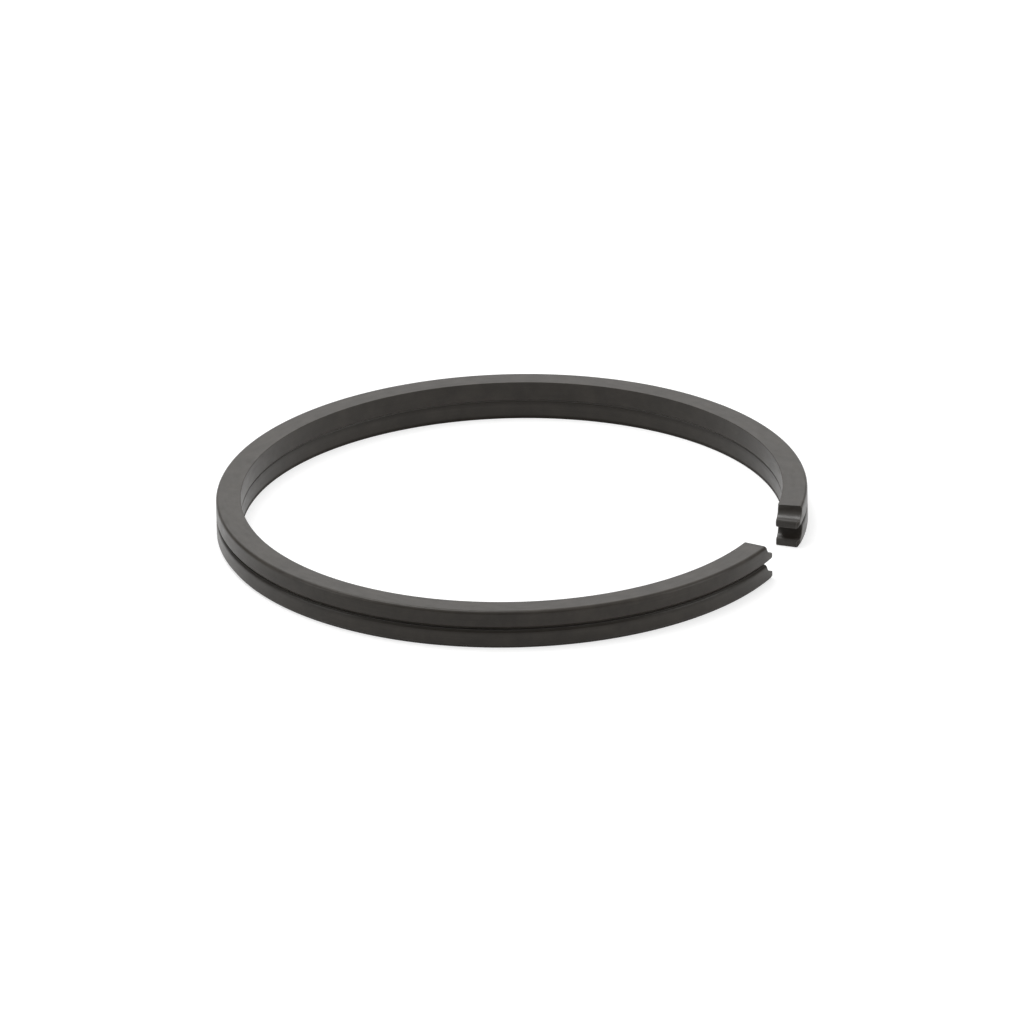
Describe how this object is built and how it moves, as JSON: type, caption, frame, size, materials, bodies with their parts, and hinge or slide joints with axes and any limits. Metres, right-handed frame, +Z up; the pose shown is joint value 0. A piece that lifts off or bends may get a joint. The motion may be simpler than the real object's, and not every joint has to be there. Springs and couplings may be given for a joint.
{
  "type": "piston ring",
  "caption": "Split metal sealing ring with twin lands, an outer mid groove and pin notches at its butt ends; springs outward in a piston groove.",
  "frame": {"origin": "on the ring's axis, in the plane of its lower side face", "axes": "+Z up along the ring's axis, from the lower side face to the upper; +X from the axis through the middle of the end gap; the ring is symmetric about the XZ plane"},
  "size_m": [0.0888, 0.0906, 0.006],
  "materials": {
    "phosphated_iron": "satin dark grey phosphate over fine turned and lapped iron"
  },
  "bodies": {
    "root": {"piston_ring": "phosphated_iron"}
  },
  "joints": []
}
